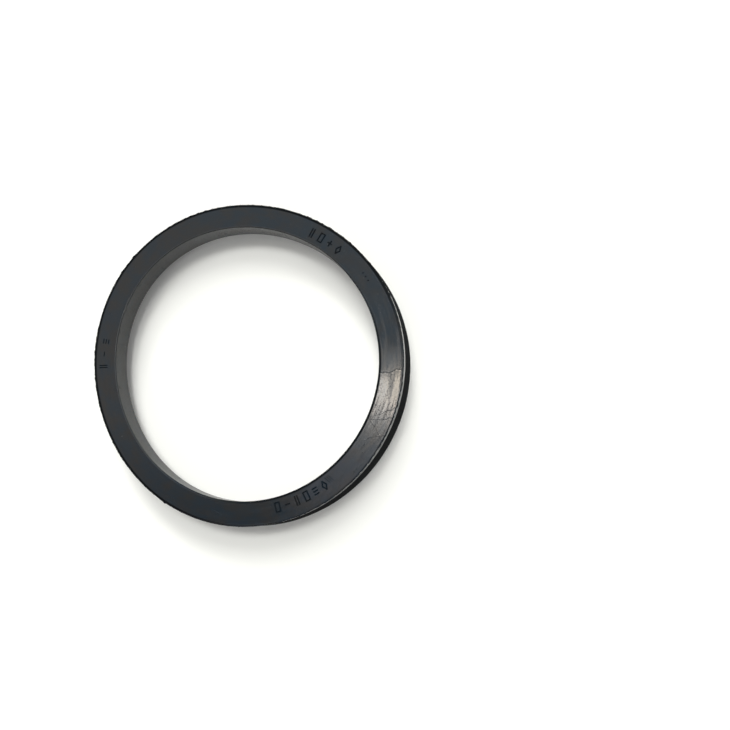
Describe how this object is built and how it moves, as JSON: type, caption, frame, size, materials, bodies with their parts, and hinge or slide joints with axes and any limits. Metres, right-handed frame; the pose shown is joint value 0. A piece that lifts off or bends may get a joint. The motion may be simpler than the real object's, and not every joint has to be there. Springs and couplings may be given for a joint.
{
  "type": "v-ring shaft seal",
  "caption": "Rubber ring gasket for a shaft: a soft body with a flat back, a V-groove round the outside, a hinge and a thin conical lip that runs against a flat face.",
  "frame": {"origin": "on the axis of the bore, in the plane of the lip's tip, which the ring lies on", "axes": "+Z along the axis of the bore, from the lip towards the flat back face; the section is the same all the way round, so X and Y are free"},
  "size_m": [0.0684, 0.0684, 0.009],
  "materials": {
    "black_rubber": "moulded black rubber, satin to semi-gloss, with light handling scratches"
  },
  "bodies": {
    "root": {"v_ring": "black_rubber"}
  },
  "joints": []
}
